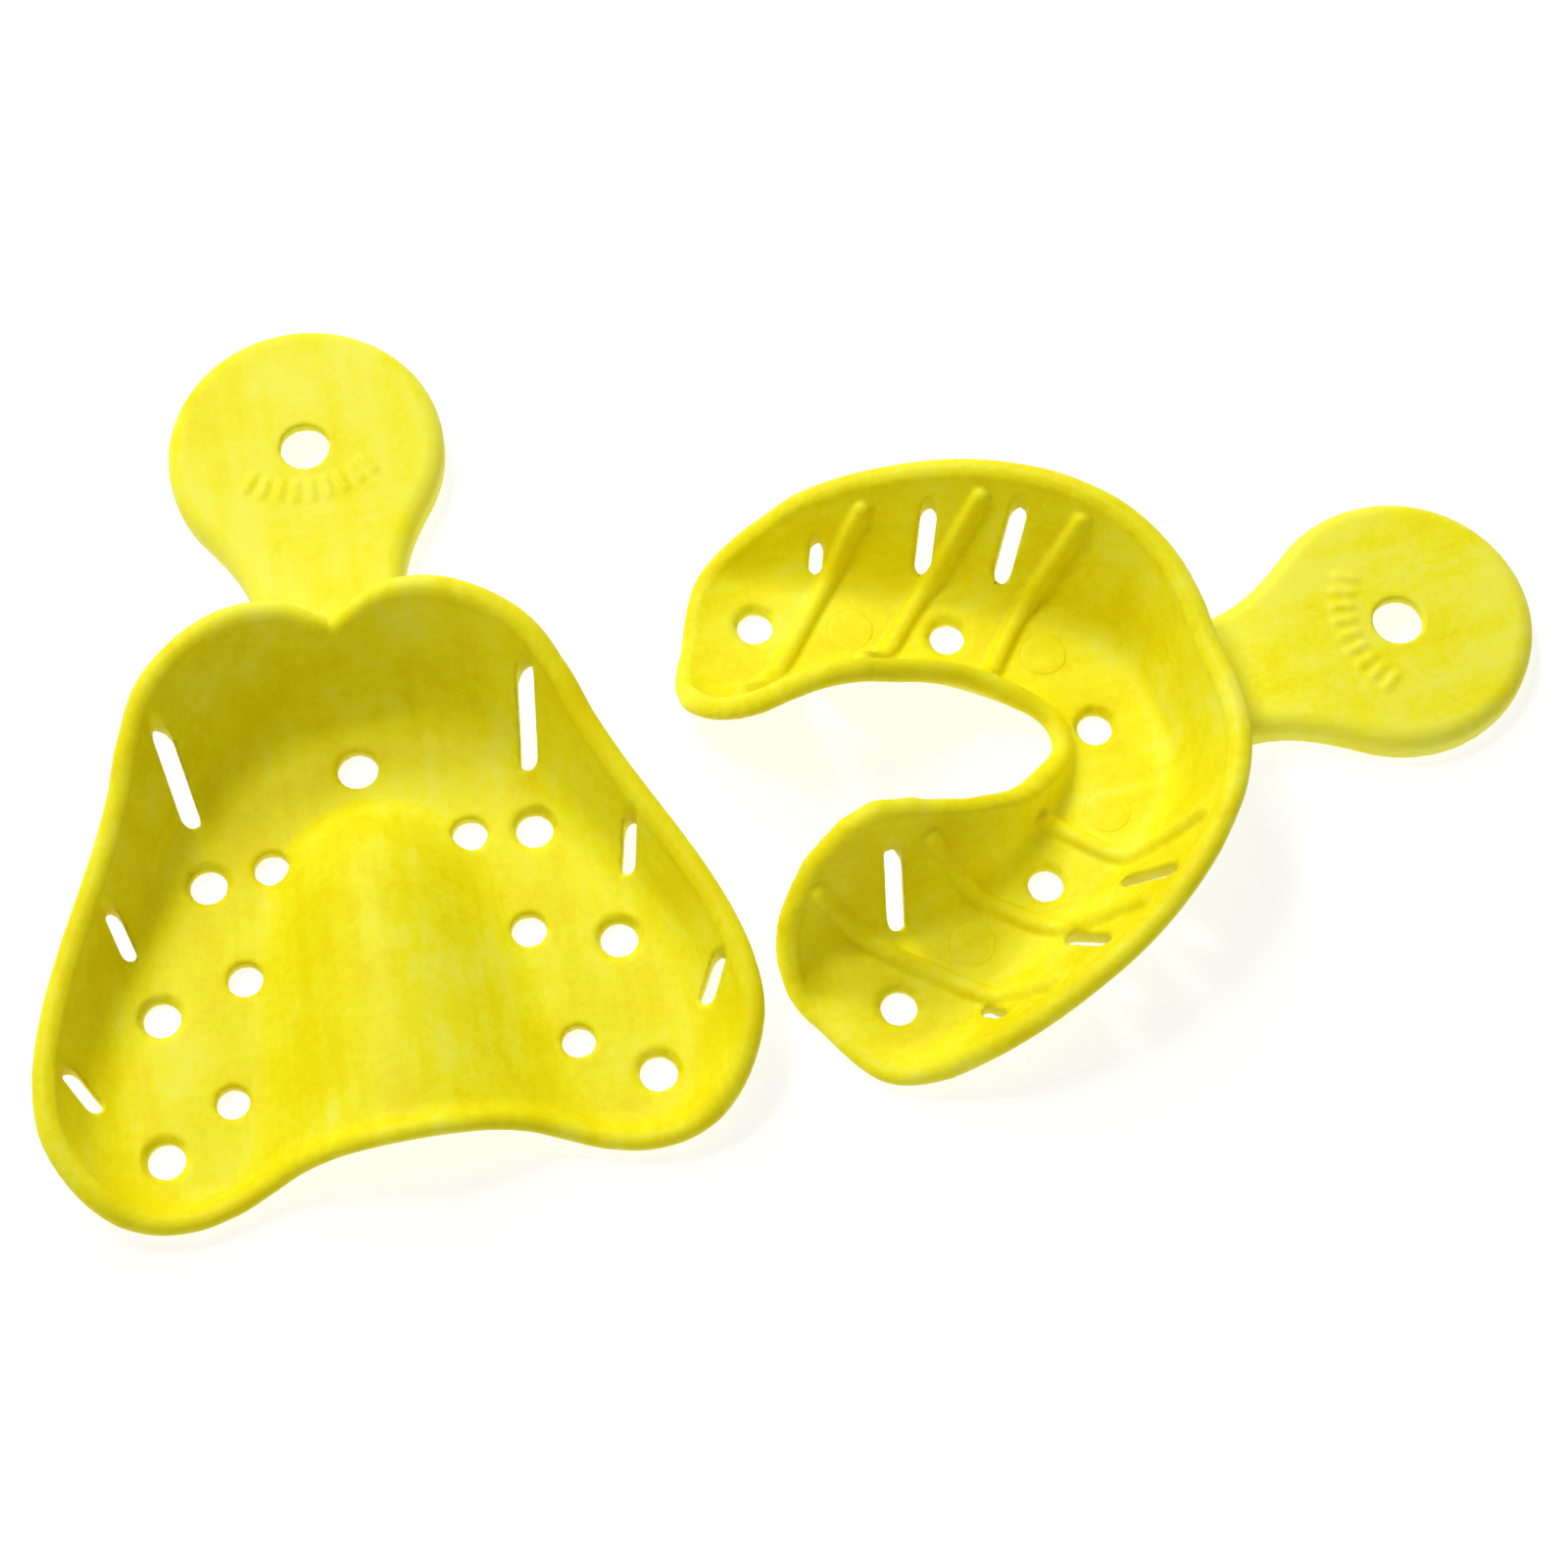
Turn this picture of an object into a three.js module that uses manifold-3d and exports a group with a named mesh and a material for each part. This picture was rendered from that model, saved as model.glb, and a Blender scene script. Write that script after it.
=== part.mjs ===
// A matched pair of dental impression trays: a full-palate upper tray and a U-shaped
// lower tray, each one moulding with its own disc handle.  Millimetres, +Z up.
// Each tray is built in its own frame: origin at the front floor hole, +Y toward its
// handle, underside of the floor at z = 0.  The pair is then laid side by side.
import * as THREE from 'three';
import { mergeVertices } from 'three/addons/utils/BufferGeometryUtils.js';
import Module from 'manifold-3d';

const wasm = await Module();
wasm.setup();

// ---------------------------------------------------------------- driving dimensions
const WALL = 1.7;              // sheet thickness of floor and flanges
const BEAD_RADIUS = 1.15;      // rounded rim of a tall flange
const BEAD_GROWTH = 0.1;       // the rim grows from half the wall by this share of the rise
const BEAD_NECK = 0.9;         // flat flange ends this far below the rim centre
const BEND_SHARE = 0.45;       // the bend at the foot takes at most this share of a flange
const STATIONS = 84;           // steps along the foot line of the flange
const FLOOR_RINGS = 8;         // rings between the middle of the palate and the flange
const HOLE_SIDES = 18;
const SLOT_END_SEGMENTS = 5;
const CUT_SPARE = 1;           // cutters reach this far past the surface they open
const SLOT_CUT = { bottom: -2, height: 24 };
const COUNTERSINK = { depth: 0.35, growth: 0.55 };   // growth: extra radius at the surface

const HANDLE = {
  bottom: 0.5, depth: 4.0, edge: 0.9,                // underside, total depth, edge rounding
  plate: 1.6, skirt: 1.7, pocketStart: 3.4,          // walls round the pocket, its start
  holeRadius: 2.6,
  waistBelow: 19.5, neckJoinAngle: 35, neckJoinPull: 4.5,   // neck sides into the disc
  rootDepth: 0.7, rootSteps: 3, rootReach: 0.04, rootMargin: 1.6,   // root inside the flange
  curveSteps: 10, shortest: 0.2,
};

// Flange tables, front midline to rear midline along the right side:
// foot x, foot y, outward run of the flange, rise of the flange above the floor.
const UPPER = {
  corner: 2.4,
  foot: [
    [0, 5.0, 4.4, 12.9], [4, 4.7, 5.9, 15.1], [8.5, 3.7, 6.7, 16.0], [13.1, 1.3, 6.3, 15.3],
    [16.2, -2.1, 5.2, 13.2], [18.7, -6, 4.2, 11.0], [21.2, -10.1, 3.6, 9.6],
    [23.8, -14.5, 3.2, 8.7], [26.3, -19.5, 3.2, 8.0], [28.3, -25, 3.5, 7.6],
    [29.5, -30.5, 3.8, 7.2], [29.8, -35.4, 3.5, 6.4], [28.7, -39.8, 2.2, 4.6],
    [26.0, -42.6, 1.2, 2.3], [22.4, -43.5, 0.6, 1.4], [18.8, -42.9, 0.4, 1.2],
    [15.4, -41.8, 0.35, 1.1], [11.8, -40.9, 0.3, 1.0], [8, -40.7, 0.3, 0.9],
    [4, -40.9, 0.3, 0.9], [0, -41.0, 0.3, 0.9],
  ],
  middle: [0, -23],
  holes: [                    // x, y, radius, countersunk
    [0, 0, 2.1, false], [23, -23.1, 1.9, true], [16.6, -9.8, 1.9, true],
    [24.4, -37.8, 1.9, true], [10.1, -9.2, 1.8, false], [14.3, -20.6, 1.8, false],
    [17.2, -33.2, 1.7, false],
  ],
  slots: [                    // lower end x, y, upper end x, y, width
    [17.3, -2.9, 18.3, 2.6, 1.8], [25.2, -16.3, 26.0, -13.5, 1.4],
    [30.5, -31.6, 32.1, -29.2, 1.5],
  ],
  handle: { y: 36.5, discRadius: 14.5, neckHalf: 7.7 },
};
const VAULT = { front: -3.6, height: 7.5, growth: 6.3, halfWidth: 11.8, swell: 5.5,
  spread: 0.1, flare: 2.6, length: 38, fullness: 1.7 };

const LOWER = {
  corner: 1.5,
  foot: [
    [0, 6.8, 3.3, 12.0], [4.4, 6.5, 3.7, 12.6], [8.4, 5.2, 4.5, 13.3], [11.7, 2.7, 5.5, 14.0],
    [14.4, -0.9, 6.6, 13.9], [16.8, -5, 7.3, 13.2], [19.2, -9.5, 7.5, 12.2],
    [21.6, -14.1, 7.0, 10.9], [24.2, -19.2, 5.8, 9.0], [26.4, -24.2, 4.1, 6.4],
    [27.7, -28, 2.1, 3.0], [27.7, -31.2, 1.0, 0.9], [26.2, -33.3, 0.6, 0.25],
    [23.5, -35.0, 0.5, 0.1], [20.5, -36.4, 0.5, 0.15], [17.9, -36.8, 0.9, 1.2],
    [15.9, -35.4, 2.8, 5.6], [15.1, -33.3, 4.7, 10.2], [15, -30.6, 5.8, 13.9],
    [15.2, -27.3, 6.4, 15.2], [15.1, -23.8, 6.2, 14.3], [14.6, -20, 5.8, 12.7],
    [13.2, -16, 4.8, 10.5], [11.2, -12.5, 3.2, 8.2], [8.6, -9, 1.4, 5.2],
    [5.2, -5.2, 0.6, 2.7], [2.6, -3.3, 0.4, 1.6], [0, -2.7, 0.4, 1.5],
  ],
  holes: [
    [0, 0, 1.8, true], [14.6, -10.8, 1.8, true], [22.2, -29.2, 1.85, true],
  ],
  slots: [
    [26.2, -21.2, 27.4, -20.6, 1.4], [22.2, -10.8, 25.0, -9.3, 1.7],
    [18.4, -3.4, 21.0, -1.1, 1.8], [14.0, -26.7, 10.6, -26, 1.8],
  ],
  ribs: [                     // plan points from the tongue-side rim to the cheek-side rim
    [[11.4, -34], [15.2, -29.8], [25.1, -19.7], [27.8, -15.6]],
    [[10.3, -21.8], [13.9, -18.2], [20.1, -11.2], [23.6, -4.3]],
    [[8.2, -8.9], [9.5, -7.6], [15.0, -2.0], [17.1, 4.2]],
  ],
  handle: { y: 33.1, discRadius: 14.0, neckHalf: 6.9 },
};
const RIB = {
  radius: 0.85, sides: 8, steps: 14, tension: 0.1,
  tipRadius: 0.5, tipReach: 0.8,                     // rounded ends, in rib radii
  blend: 0.65,                 // how softly a rib line turns from floor to flange
  lineSamples: 600,
};
const PLASTIC = { color: 0xf2e21a, roughness: 0.42, metalness: 0 };

// Where each tray lies: turn about +Z in degrees, then shift of its front hole.
const UPPER_PLACE = { turn: 10.8, x: -43.4, y: 0.9 };
const LOWER_PLACE = { turn: -71.0, x: 31.8, y: 5.7 };

// ---------------------------------------------------------------- mesh helpers
function toManifold(geometry) {
  const clean = geometry.clone();
  clean.deleteAttribute('normal');
  clean.deleteAttribute('uv');
  const welded = mergeVertices(clean, 1e-4);
  return new wasm.Manifold(new wasm.Mesh({
    numProp: 3,
    vertProperties: new Float32Array(welded.attributes.position.array),
    triVerts: new Uint32Array(welded.index.array),
  }));
}

function fromManifold(body) {
  const mesh = body.getMesh();
  const geometry = new THREE.BufferGeometry();
  const positions = new Float32Array(mesh.vertProperties);
  geometry.setAttribute('position', new THREE.BufferAttribute(positions, 3));
  geometry.setIndex(new THREE.BufferAttribute(new Uint32Array(mesh.triVerts), 1));
  const flat = geometry.toNonIndexed();
  flat.computeVertexNormals();
  return flat;
}

function indexed(points, triangles) {
  const geometry = new THREE.BufferGeometry();
  geometry.setAttribute('position', new THREE.Float32BufferAttribute(
    points.flatMap((p) => [p.x, p.y, p.z]), 3));
  geometry.setIndex(triangles);
  return geometry;
}

// Closed skin over a stack of equal rings.  `cap` lists triangles of ring positions in
// rising order; it shuts the first ring backwards and the last ring forwards.
function closedSkin(rings, cap) {
  const count = rings[0].length;
  const last = (rings.length - 1) * count;
  const triangles = [];
  for (let base = 0; base < last; base += count) {
    for (let i = 0; i < count; i += 1) {
      const j = (i + 1) % count;
      triangles.push(base + i, base + j, base + count + j);
      triangles.push(base + i, base + count + j, base + count + i);
    }
  }
  for (const [a, b, c] of cap) {
    triangles.push(a, c, b);
    triangles.push(last + a, last + b, last + c);
  }
  return indexed(rings.flat(), triangles);
}

const planCap = (ring) => THREE.ShapeUtils
  .triangulateShape(ring.map((p) => new THREE.Vector2(p.x, p.y)), [])
  .map((corner) => [...corner].sort((a, b) => a - b));

const fanCap = (ring) => ring.slice(2).map((_, i) => [0, i + 1, i + 2]);

const cylinder = (topRadius, bottomRadius, bottom, top, x, y) =>
  new THREE.CylinderGeometry(topRadius, bottomRadius, top - bottom, HOLE_SIDES)
    .rotateX(Math.PI / 2).translate(x, y, (bottom + top) / 2);

// ---------------------------------------------------------------- the tray sheet
// The foot line runs clockwise round the floor, so its left side is always outward.
function footLine(spec) {
  const mirrored = spec.foot.slice(1, -1).reverse().map(([x, ...rest]) => [-x, ...rest]);
  const rows = [...spec.foot, ...mirrored];
  const plan = new THREE.CatmullRomCurve3(
    rows.map(([x, y]) => new THREE.Vector3(x, y, 0)), true, 'catmullrom', 0.5);
  const flange = new THREE.CatmullRomCurve3(
    rows.map(([, , run, rise]) => new THREE.Vector3(run, rise, 0)), true, 'catmullrom', 0.5);
  return (t) => {
    const foot = plan.getPoint(t);
    const along = plan.getTangent(t);
    const { x: run, y: rise } = flange.getPoint(t);
    return { foot, outward: new THREE.Vector3(-along.y, along.x, 0).normalize(), run, rise };
  };
}

// Section of floor edge, flange and rim in (outward, up) millimetres from the foot.
// The inner face is listed with its normals, and the outer face is the same face moved
// by the wall thickness.
function flangeSection(run, rise, corner) {
  const length = Math.hypot(run, rise);
  const [side, up] = [run / length, rise / length];
  const bend = Math.min(corner, length * BEND_SHARE);
  const flat = Math.max(length - BEAD_NECK, length / 2);
  const along = (s) => [s * side, s * up];
  const inner = [
    [[-bend, 0], [0, 1]],
    [[bend * (side - 1) / 4, bend * up / 4], [-up / 2, (1 + side) / 2]],
    [along(bend), [-up, side]],
    [along((bend + flat) / 2), [-up, side]],
    [along(flat), [-up, side]],
  ];
  const sheet = inner.map(([[x, z], [nx, nz]]) => {
    const scale = WALL / Math.hypot(nx, nz);
    return [x - nx * scale, z - nz * scale];
  });
  const bead = Math.min(BEAD_RADIUS, WALL / 2 + BEAD_GROWTH * rise);
  const [cx, cz] = [length * side + bead * up, length * up - bead * side];
  const rim = [0, 45, 90, 135, 180].map((degrees) => {
    const angle = THREE.MathUtils.degToRad(degrees);
    const [across, ahead] = [-Math.cos(angle) * bead, Math.sin(angle) * bead];
    return [cx + across * up + ahead * side, cz - across * side + ahead * up];
  });
  return [...inner.map(([point]) => point), ...rim, ...sheet.reverse()];
}

function vaultHeight(x, y) {
  const back = VAULT.front - y;
  if (back <= 0) return 0;
  const width = VAULT.halfWidth * Math.sqrt(1 - Math.exp(-back / VAULT.swell))
    + VAULT.spread * back + VAULT.flare * (back / VAULT.length) ** 6;
  const across = Math.min(Math.abs(x) / width, 1);
  return VAULT.height * (1 - Math.exp(-back / VAULT.growth)) * (1 - across ** 2) ** VAULT.fullness;
}

function vaultUnderside(x, y) {
  const step = 0.05;
  const slopeX = (vaultHeight(x + step, y) - vaultHeight(x - step, y)) / (2 * step);
  const slopeY = (vaultHeight(x, y + step) - vaultHeight(x, y - step)) / (2 * step);
  const thick = WALL * Math.hypot(1, slopeX, slopeY);
  return Math.max(0, WALL + vaultHeight(x, y) - thick);
}

function traySheet(spec, line, floorTop, floorUnder) {
  const spots = Array.from({ length: STATIONS }, (_, i) => line(i / STATIONS));
  const sections = spots.map(({ run, rise }) => flangeSection(run, rise, spec.corner));
  const rings = sections[0].map((_, row) => spots.map(({ foot, outward }, i) => {
    const [out, up] = sections[i][row];
    const point = foot.clone().addScaledVector(outward, out);
    point.z = floorTop(foot.x, foot.y) + up;
    return point;
  }));
  for (const point of rings[0]) point.z = floorTop(point.x, point.y);
  for (const point of rings.at(-1)) point.z = floorUnder(point.x, point.y);
  if (!spec.middle) return closedSkin(rings, planCap(rings[0]));
  const middle = new THREE.Vector3(...spec.middle, 0);
  const floorRings = (edge, height) => Array.from({ length: FLOOR_RINGS }, (_, k) =>
    edge.map((point) => {
      const inner = middle.clone().lerp(point, (k + 0.5) / (FLOOR_RINGS + 0.5));
      inner.z = height(inner.x, inner.y);
      return inner;
    }));
  const top = floorRings(rings[0], floorTop);
  const under = floorRings(rings.at(-1), floorUnder).reverse();
  return closedSkin([...top, ...rings, ...under], planCap(top[0]));
}

// Plan outline of the handle, or of its pocket when it is drawn in from the edge:
// neck sides, a smooth waist, the disc, then back along the points of the neck's root.
function handleOutline({ y, discRadius, neckHalf }, inset, root) {
  const [radius, half, pull] = [discRadius - inset, neckHalf - inset, HANDLE.neckJoinPull];
  const join = THREE.MathUtils.degToRad(HANDLE.neckJoinAngle);
  const [joinX, joinY] = [radius * Math.cos(join), y - radius * Math.sin(join)];
  const [leanX, leanY] = [pull * Math.sin(join), pull * Math.cos(join)];
  const neckTop = y - HANDLE.waistBelow;
  const shape = new THREE.Shape();
  shape.moveTo(half, root.at(-1).y - HANDLE.shortest);
  shape.lineTo(half, neckTop);
  shape.bezierCurveTo(half, neckTop + pull, joinX - leanX, joinY - leanY, joinX, joinY);
  shape.absarc(0, y, radius, -join, Math.PI + join, false);
  shape.bezierCurveTo(leanX - joinX, joinY - leanY, -half, neckTop + pull, -half, neckTop);
  shape.lineTo(-half, root[0].y - HANDLE.shortest);
  for (const point of root) shape.lineTo(point.x, point.y);
  return new THREE.Shape(shape.getPoints(HANDLE.curveSteps)
    .filter((p, i, all) => p.distanceTo(all.at(i - 1)) > HANDLE.shortest));
}

// Thin plate with a rounded rim and a skirt all round, hollow below.
function handleBody(spec, line) {
  const { bottom, depth, edge, plate, skirt } = HANDLE;
  const { y, neckHalf } = spec.handle;
  const root = [];
  for (let i = -HANDLE.rootSteps; i <= HANDLE.rootSteps; i += 1) {
    const { foot, outward } = line((1 + (i / HANDLE.rootSteps) * HANDLE.rootReach) % 1);
    const point = foot.clone().addScaledVector(outward, HANDLE.rootDepth);
    if (Math.abs(point.x) < neckHalf - HANDLE.rootMargin) root.push(point);
  }
  const body = new THREE.ExtrudeGeometry(handleOutline(spec.handle, 0, root), {
    depth: depth - 2 * edge, bevelThickness: edge, bevelSize: edge, bevelOffset: -edge,
    bevelSegments: 2,
  }).translate(0, 0, bottom + edge);
  const pocketRoot = [new THREE.Vector2(0, root.at(-1).y + HANDLE.pocketStart)];
  const pocket = new THREE.ExtrudeGeometry(handleOutline(spec.handle, skirt, pocketRoot), {
    depth: depth - plate + CUT_SPARE, bevelEnabled: false,
  }).translate(0, 0, bottom - CUT_SPARE);
  const holeTop = bottom + depth + CUT_SPARE;
  const hole = cylinder(HANDLE.holeRadius, HANDLE.holeRadius, bottom - CUT_SPARE, holeTop, 0, y);
  return toManifold(body).subtract(toManifold(pocket)).subtract(toManifold(hole));
}

function slotCutter([x0, y0, x1, y1, width]) {
  const angle = Math.atan2(y1 - y0, x1 - x0);
  const half = width / 2;
  const reach = Math.hypot(x1 - x0, y1 - y0) / 2;
  const shape = new THREE.Shape();
  shape.absarc(reach, 0, half, -Math.PI / 2, Math.PI / 2, false);
  shape.absarc(-reach, 0, half, Math.PI / 2, Math.PI * 1.5, false);
  return new THREE.ExtrudeGeometry(shape, {
    depth: SLOT_CUT.height, bevelEnabled: false, curveSegments: SLOT_END_SEGMENTS,
  }).rotateZ(angle).translate((x0 + x1) / 2, (y0 + y1) / 2, SLOT_CUT.bottom);
}

// Height of the trough surface above the floor plan at any plan point.
function surfaceFinder(line) {
  const spots = Array.from({ length: RIB.lineSamples }, (_, i) => line(i / RIB.lineSamples));
  return (x, y) => {
    const here = new THREE.Vector3(x, y, 0);
    const near = spots.reduce((best, spot) =>
      (spot.foot.distanceToSquared(here) < best.foot.distanceToSquared(here) ? spot : best));
    const out = here.sub(near.foot).dot(near.outward);
    const climb = Math.min(out / near.run, 1) * near.rise;
    return WALL + (climb + Math.hypot(climb, RIB.blend)) / 2;
  };
}

function ribBody(path, side, heightAt) {
  const dense = new THREE.CatmullRomCurve3(
    path.map(([x, y]) => new THREE.Vector3(side * x, y, 0)), false, 'catmullrom', RIB.tension);
  const onSurface = dense.getSpacedPoints(RIB.steps)
    .map((p) => new THREE.Vector3(p.x, p.y, heightAt(p.x, p.y)));
  const curve = new THREE.CatmullRomCurve3(onSurface);
  const frames = curve.computeFrenetFrames(RIB.steps, false);
  const ringAt = (i, radius, ahead) => Array.from({ length: RIB.sides }, (_, k) => {
    const angle = (k / RIB.sides) * Math.PI * 2;
    return curve.getPointAt(i / RIB.steps)
      .addScaledVector(frames.tangents[i], ahead)
      .addScaledVector(frames.normals[i], Math.cos(angle) * radius)
      .addScaledVector(frames.binormals[i], Math.sin(angle) * radius);
  });
  const [tipRadius, tipReach] = [RIB.radius * RIB.tipRadius, RIB.radius * RIB.tipReach];
  const rings = [ringAt(0, tipRadius, -tipReach)];
  for (let i = 0; i <= RIB.steps; i += 1) rings.push(ringAt(i, RIB.radius, 0));
  rings.push(ringAt(RIB.steps, tipRadius, tipReach));
  return toManifold(closedSkin(rings, fanCap(rings[0])));
}

function buildTray(spec, floorTop, floorUnder) {
  const line = footLine(spec);
  let body = toManifold(traySheet(spec, line, floorTop, floorUnder));
  body = body.add(handleBody(spec, line));
  const heightAt = surfaceFinder(line);
  for (const path of spec.ribs ?? []) {
    for (const side of [1, -1]) body = body.add(ribBody(path, side, heightAt));
  }
  for (const [x, y, radius, sunk] of spec.holes) {
    for (const side of x === 0 ? [1] : [1, -1]) {
      const through = cylinder(radius, radius, -CUT_SPARE, WALL + CUT_SPARE, side * x, y);
      body = body.subtract(toManifold(through));
      if (!sunk) continue;
      const cone = cylinder(radius + 2 * COUNTERSINK.growth, radius,
        WALL - COUNTERSINK.depth, WALL + COUNTERSINK.depth, side * x, y);
      body = body.subtract(toManifold(cone));
    }
  }
  for (const [x0, y0, x1, y1, width] of spec.slots) {
    for (const side of [1, -1]) {
      body = body.subtract(toManifold(slotCutter([side * x0, y0, side * x1, y1, width])));
    }
  }
  return body;
}

// ---------------------------------------------------------------- the two trays, laid out
const upperBody = buildTray(UPPER, (x, y) => WALL + vaultHeight(x, y), vaultUnderside);
const lowerBody = buildTray(LOWER, () => WALL, () => 0);

const group = new THREE.Group();
group.name = 'impression_tray_pair';
for (const [name, body, place] of [
  ['upper_tray', upperBody, UPPER_PLACE], ['lower_tray', lowerBody, LOWER_PLACE],
]) {
  const geometry = fromManifold(body);
  geometry.rotateZ(THREE.MathUtils.degToRad(place.turn)).translate(place.x, place.y, 0);
  const mesh = new THREE.Mesh(geometry, new THREE.MeshStandardMaterial(PLASTIC));
  mesh.name = name;
  group.add(mesh);
}

// The row frame sits under the middle of the pair.
const box = new THREE.Box3().setFromObject(group);
const middle = box.getCenter(new THREE.Vector3());
for (const mesh of group.children) mesh.geometry.translate(-middle.x, -middle.y, -box.min.z);

export default group;
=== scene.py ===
"""Looks of the impression tray pair: an upper and a lower tray in lemon-yellow plastic.

Each tray is one moulding, so each is one piece.  Its surface is the zero level of a
signed distance made of sheet, rolled rim, ribs and handle, in millimetres, in the tray's
own frame: origin at the front floor hole, +Y toward the handle, floor underside at z = 0.
"""

import math

import bpy
import numpy as np
from mathutils import Matrix, Vector


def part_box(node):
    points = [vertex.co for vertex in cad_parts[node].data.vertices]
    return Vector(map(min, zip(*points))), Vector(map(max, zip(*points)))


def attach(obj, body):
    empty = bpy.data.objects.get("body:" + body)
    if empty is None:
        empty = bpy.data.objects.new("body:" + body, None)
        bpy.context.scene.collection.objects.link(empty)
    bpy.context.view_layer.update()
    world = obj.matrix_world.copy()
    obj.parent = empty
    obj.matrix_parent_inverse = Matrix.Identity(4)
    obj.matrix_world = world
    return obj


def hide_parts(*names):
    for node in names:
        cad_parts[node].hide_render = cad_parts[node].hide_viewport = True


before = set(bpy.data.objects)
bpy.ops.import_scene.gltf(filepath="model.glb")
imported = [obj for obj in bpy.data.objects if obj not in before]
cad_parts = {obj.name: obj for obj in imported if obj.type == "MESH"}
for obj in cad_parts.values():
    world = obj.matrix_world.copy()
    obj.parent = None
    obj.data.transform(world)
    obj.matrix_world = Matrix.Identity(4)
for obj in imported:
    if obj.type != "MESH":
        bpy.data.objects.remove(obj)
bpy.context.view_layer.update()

MM = 0.001

# ------------------------------------------------------------------ driving dimensions
WALL = 1.7              # sheet thickness
BEAD_RADIUS = 1.15      # rolled rim of a tall flange
BEAD_GROWTH = 0.1       # the rim grows from half the wall by this share of the rise
CORNER_SHARE = 1.6      # most that a corner at the foot rounds, as a share of the flange's length
LINE_SAMPLES = 720      # points along each flange's foot line
MAP_STEP = 0.4          # spacing of the plan map of nearest foot-line points
MAP_MARGIN = 12.0       # how far that map goes past the foot line at the sides and the rear
NEIGHBOURS = 4          # foot-line steps searched each way round the mapped point
FAR = 99.0              # distance that stands for nothing near

# The surface is sampled on a grid that reaches past the foot line and the handle, and its
# points are then moved onto the surface by steps along the slope of the distance.
GRID = dict(spacing=0.39, side=9, rear=4, ahead=1, bottom=-1.0, top=20.0)
SETTLE = dict(rounds=2, step=0.02, least_slope=0.05)
VAULT_STEP = 0.05       # step over which the palate vault's slope is taken

# How softly each pair of surfaces runs together.
BLEND = dict(rim=0.4, handle=1.4, rib=0.3, dash=0.2, pocket=0.5, countersink=0.15, cut=0.3)

# The handle is a plate with a skirt and an open pocket below.  In plan it is a disc on a neck:
# the disc's arc ends join_angle below its middle, and a curve leads from there to the straight
# sides of the neck, which it meets waist_below the disc's middle.  The neck starts root ahead
# of the foot line and the pocket pocket_root ahead of it; cover is the thickness that the
# flange keeps over them.
HANDLE = dict(bottom=0.5, depth=4.0, plate=1.6, skirt=1.7, hole=2.6, top_edge=1.9, low_edge=0.6,
              join_angle=35, waist_below=19.5, join_pull=4.5, root=0.7, pocket_root=4.0,
              cover=0.3, join_steps=24, disc_steps=72)

# Flange tables, front midline to rear midline along the right side:
# foot x, foot y, outward run of the flange, rise of the flange above the floor.
UPPER = dict(
    corner=3.2,
    foot=[
        (0, 5.0, 4.4, 12.9), (4, 4.7, 5.9, 15.1), (8.5, 3.7, 6.7, 16.0), (13.1, 1.3, 6.3, 15.3),
        (16.2, -2.1, 5.2, 13.2), (18.7, -6, 4.2, 11.0), (21.2, -10.1, 3.6, 9.6),
        (23.8, -14.5, 3.2, 8.7), (26.3, -19.5, 3.2, 8.0), (28.3, -25, 3.5, 7.6),
        (29.5, -30.5, 3.8, 7.2), (29.8, -35.4, 3.5, 6.4), (28.7, -39.8, 2.2, 4.6),
        (26.0, -42.6, 1.2, 2.3), (22.4, -43.5, 0.6, 1.4), (18.8, -42.9, 0.4, 1.2),
        (15.4, -41.8, 0.35, 1.1), (11.8, -40.9, 0.3, 1.0), (8, -40.7, 0.3, 0.9),
        (4, -40.9, 0.3, 0.9), (0, -41.0, 0.3, 0.9),
    ],
    notch=1.0,
    holes=[                                      # x, y, radius, countersunk
        (0, 0, 2.1, False), (23, -23.1, 1.9, True), (16.6, -9.8, 1.9, True),
        (24.4, -37.8, 1.9, True), (10.1, -9.2, 1.8, False), (14.3, -20.6, 1.8, False),
        (17.2, -33.2, 1.7, False),
    ],
    slots=[
        (17.3, -2.9, 18.3, 2.6, 1.8), (25.2, -16.3, 26.0, -13.5, 1.4),
        (30.5, -31.6, 32.1, -29.2, 1.5),
    ],
    ribs=[],
    marks=[],
    vault=dict(front=-3.6, height=7.5, growth=6.3, half_width=11.8, swell=5.5,
               spread=0.1, flare=2.6, length=38, fullness=1.7),
    handle=dict(y=36.5, radius=14.5, neck=7.7),
    place=dict(turn=10.8, x=-43.4, y=0.9),
)
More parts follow.
